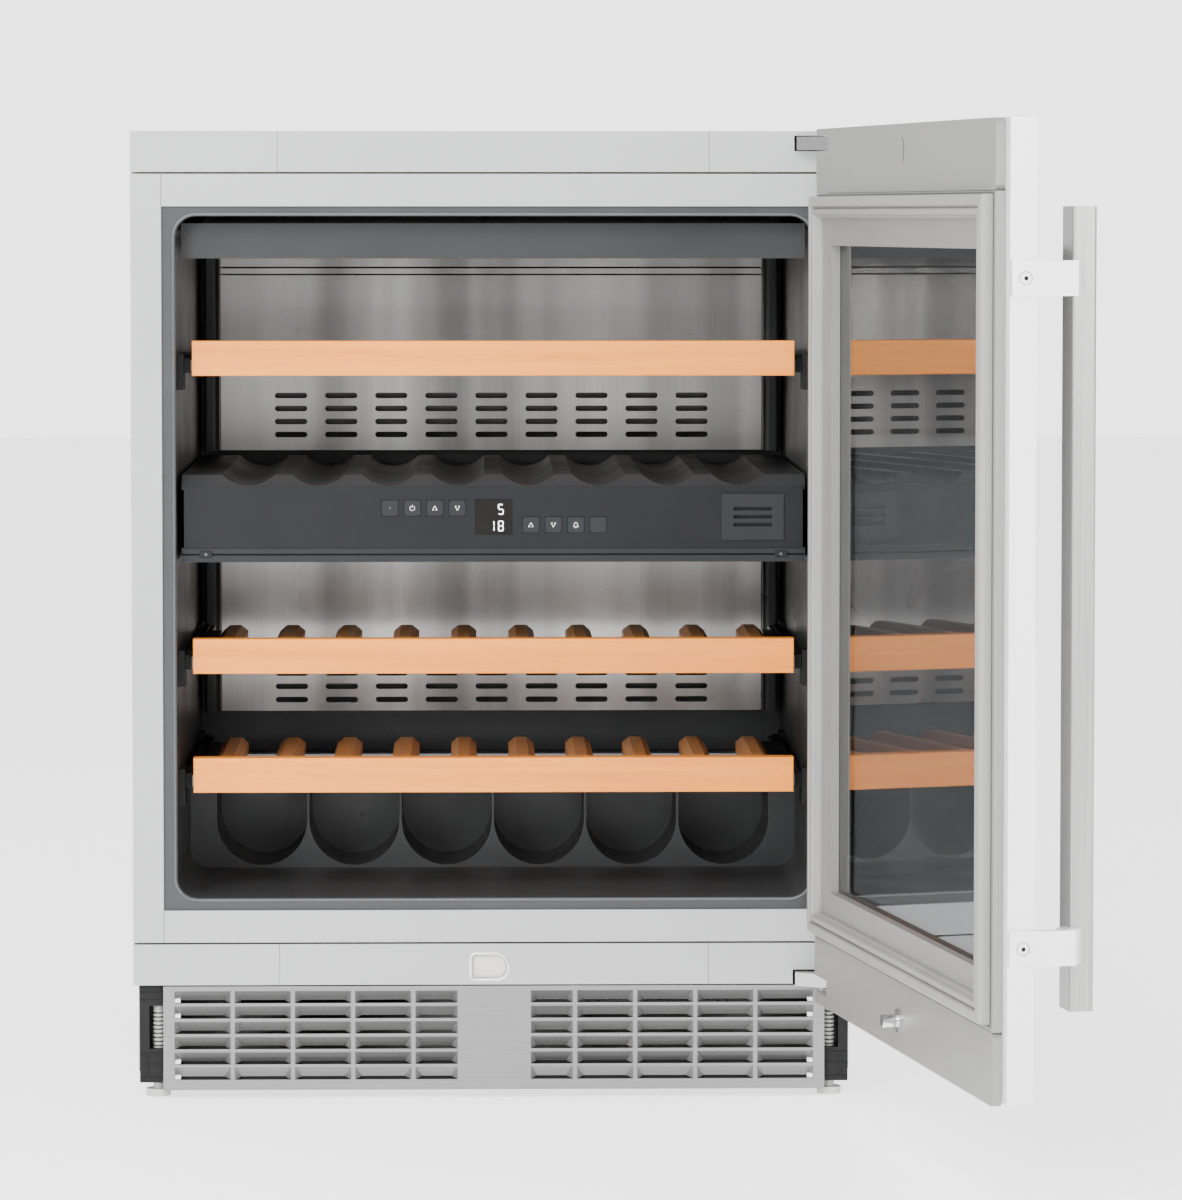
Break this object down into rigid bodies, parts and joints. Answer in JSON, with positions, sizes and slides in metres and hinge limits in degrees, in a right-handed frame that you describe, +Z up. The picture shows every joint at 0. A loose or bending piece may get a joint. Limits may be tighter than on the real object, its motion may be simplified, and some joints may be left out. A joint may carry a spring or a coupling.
{
  "type": "wine cooler",
  "caption": "Built-under wine cooler with two temperature zones, pull-out wooden shelves, a control panel between the zones and a framed glass door on its right side.",
  "frame": {"origin": "on the floor, in the centre of the rectangle of the four feet", "axes": "+Z up, +X to the right as seen by someone facing the door, +Y from the door to the back wall"},
  "size_m": [0.7315, 1.143, 0.801],
  "materials": {
    "shell_paint": "satin",
    "frame_grey": "satin",
    "galvanised": "satin",
    "liner_plastic": "satin",
    "trim_plastic": "satin",
    "black_plastic": "matte",
    "control_plastic": "satin",
    "button_plastic": "satin",
    "display_plastic": "gloss",
    "foam": "matte",
    "brushed_steel": "satin",
    "door_steel": "satin",
    "bright_steel": "polished",
    "guide_steel": "satin",
    "coil_aluminium": "satin",
    "compressor_black": "satin",
    "beech": "satin",
    "glazing": "gloss",
    "gasket_rubber": "matte",
    "foot_plastic": "satin"
  },
  "bodies": {
    "cabinet": {"side_panels": "shell_paint", "top_panel": "shell_paint", "rear_panel": "galvanised", "base_pan": "galvanised", "inner_liner": "liner_plastic", "insulation_foam": "foam", "back_panel_upper": "brushed_steel", "back_panel_lower": "brushed_steel", "upper_fascia": "liner_plastic", "evaporator_plates": "coil_aluminium", "compressor": "compressor_black", "condenser": "coil_aluminium", "power_inlet": "black_plastic", "top_rail": "frame_grey", "bottom_rail": "frame_grey", "inner_frame": "frame_grey", "latch_receiver": "bright_steel", "control_fascia": "control_plastic", "display_unit": "display_plastic", "divider_cradle": "liner_plastic", "divider_base": "liner_plastic", "shelf_guides": "guide_steel", "plinth_grille": "brushed_steel", "foot_brackets": "black_plastic", "hinge_arms": "bright_steel"},
    "door": {"door_frame": "door_steel", "door_cover_top": "trim_plastic", "door_cover_bottom": "trim_plastic", "glass_border": "trim_plastic", "glass_panes": "glazing", "glass_spacer": "black_plastic", "door_gasket": "gasket_rubber", "handle_bar": "door_steel", "handle_brackets": "door_steel", "catch_pin": "bright_steel"},
    "shelf_1": {"shelf_1_wood": "beech", "shelf_1_carrier": "guide_steel"},
    "shelf_1_rails": {"shelf_1_middle_rail": "guide_steel"},
    "shelf_2": {"shelf_2_wood": "beech", "shelf_2_carrier": "guide_steel"},
    "shelf_2_rails": {"shelf_2_middle_rail": "guide_steel"},
    "shelf_3": {"shelf_3_wood": "beech", "shelf_3_carrier": "guide_steel"},
    "shelf_3_rails": {"shelf_3_middle_rail": "guide_steel"},
    "button_fan": {"button_fan": "button_plastic"},
    "button_power": {"button_power": "button_plastic"},
    "button_upper_up": {"button_upper_up": "button_plastic"},
    "button_upper_down": {"button_upper_down": "button_plastic"},
    "button_lower_up": {"button_lower_up": "button_plastic"},
    "button_lower_down": {"button_lower_down": "button_plastic"},
    "button_alarm": {"button_alarm": "button_plastic"},
    "button_light": {"button_light": "button_plastic"},
    "filter": {"filter_cover": "button_plastic"},
    "foot_front_left": {"foot_front_left": "foot_plastic"},
    "foot_front_right": {"foot_front_right": "foot_plastic"},
    "foot_rear_left": {"foot_rear_left": "foot_plastic"},
    "foot_rear_right": {"foot_rear_right": "foot_plastic"},
    "circulation_fan_upper": {"circulation_fan_upper": "black_plastic"},
    "circulation_fan_lower": {"circulation_fan_lower": "black_plastic"},
    "condenser_fan": {"condenser_fan": "black_plastic"}
  },
  "joints": [
    {"name": "door_hinge", "type": "hinge", "parent": "cabinet", "child": "door", "pos_m": [0.284, -0.29, 0.44], "axis": [0, 0, 1], "range_deg": [-99.55, 5.45]},
    {"name": "shelf_1_slide", "type": "slide", "parent": "cabinet", "child": "shelf_1", "axis": [0, -1, 0], "range_m": [0, 0.26]},
    {"name": "shelf_1_rail_slide", "type": "slide", "parent": "cabinet", "child": "shelf_1_rails", "axis": [0, -1, 0], "range_m": [0, 0.131]},
    {"name": "shelf_2_slide", "type": "slide", "parent": "cabinet", "child": "shelf_2", "axis": [0, -1, 0], "range_m": [0, 0.26]},
    {"name": "shelf_2_rail_slide", "type": "slide", "parent": "cabinet", "child": "shelf_2_rails", "axis": [0, -1, 0], "range_m": [0, 0.131]},
    {"name": "shelf_3_slide", "type": "slide", "parent": "cabinet", "child": "shelf_3", "axis": [0, -1, 0], "range_m": [0, 0.26]},
    {"name": "shelf_3_rail_slide", "type": "slide", "parent": "cabinet", "child": "shelf_3_rails", "axis": [0, -1, 0], "range_m": [0, 0.131]},
    {"name": "button_fan_press", "type": "slide", "parent": "cabinet", "child": "button_fan", "axis": [0, 1, 0], "range_m": [0, 0.001], "stiffness_N_per_m": 200},
    {"name": "button_power_press", "type": "slide", "parent": "cabinet", "child": "button_power", "axis": [0, 1, 0], "range_m": [0, 0.001], "stiffness_N_per_m": 200},
    {"name": "button_upper_up_press", "type": "slide", "parent": "cabinet", "child": "button_upper_up", "axis": [0, 1, 0], "range_m": [0, 0.001], "stiffness_N_per_m": 200},
    {"name": "button_upper_down_press", "type": "slide", "parent": "cabinet", "child": "button_upper_down", "axis": [0, 1, 0], "range_m": [0, 0.001], "stiffness_N_per_m": 200},
    {"name": "button_lower_up_press", "type": "slide", "parent": "cabinet", "child": "button_lower_up", "axis": [0, 1, 0], "range_m": [0, 0.001], "stiffness_N_per_m": 200},
    {"name": "button_lower_down_press", "type": "slide", "parent": "cabinet", "child": "button_lower_down", "axis": [0, 1, 0], "range_m": [0, 0.001], "stiffness_N_per_m": 200},
    {"name": "button_alarm_press", "type": "slide", "parent": "cabinet", "child": "button_alarm", "axis": [0, 1, 0], "range_m": [0, 0.001], "stiffness_N_per_m": 200},
    {"name": "button_light_press", "type": "slide", "parent": "cabinet", "child": "button_light", "axis": [0, 1, 0], "range_m": [0, 0.001], "stiffness_N_per_m": 200},
    {"name": "filter_pull", "type": "slide", "parent": "cabinet", "child": "filter", "axis": [0, -1, 0], "range_m": [0, 0.04]},
    {"name": "foot_front_left_level", "type": "slide", "parent": "cabinet", "child": "foot_front_left", "axis": [0, 0, -1], "range_m": [0, 0.02]},
    {"name": "foot_front_right_level", "type": "slide", "parent": "cabinet", "child": "foot_front_right", "axis": [0, 0, -1], "range_m": [0, 0.02]},
    {"name": "foot_rear_left_level", "type": "slide", "parent": "cabinet", "child": "foot_rear_left", "axis": [0, 0, -1], "range_m": [0, 0.02]},
    {"name": "foot_rear_right_level", "type": "slide", "parent": "cabinet", "child": "foot_rear_right", "axis": [0, 0, -1], "range_m": [0, 0.02]},
    {"name": "circulation_fan_upper_spin", "type": "hinge", "parent": "cabinet", "child": "circulation_fan_upper", "pos_m": [0, 0.183, 0.61], "axis": [0, 1, 0], "continuous": true},
    {"name": "circulation_fan_lower_spin", "type": "hinge", "parent": "cabinet", "child": "circulation_fan_lower", "pos_m": [0, 0.183, 0.37], "axis": [0, 1, 0], "continuous": true},
    {"name": "condenser_fan_spin", "type": "hinge", "parent": "cabinet", "child": "condenser_fan", "pos_m": [0.12, 0.191, 0.108], "axis": [0, 1, 0], "continuous": true}
  ],
  "couplings": [
    {"joint": "shelf_1_rail_slide", "follows": "shelf_1_slide", "ratio": 0.5},
    {"joint": "shelf_2_rail_slide", "follows": "shelf_2_slide", "ratio": 0.5},
    {"joint": "shelf_3_rail_slide", "follows": "shelf_3_slide", "ratio": 0.5}
  ]
}
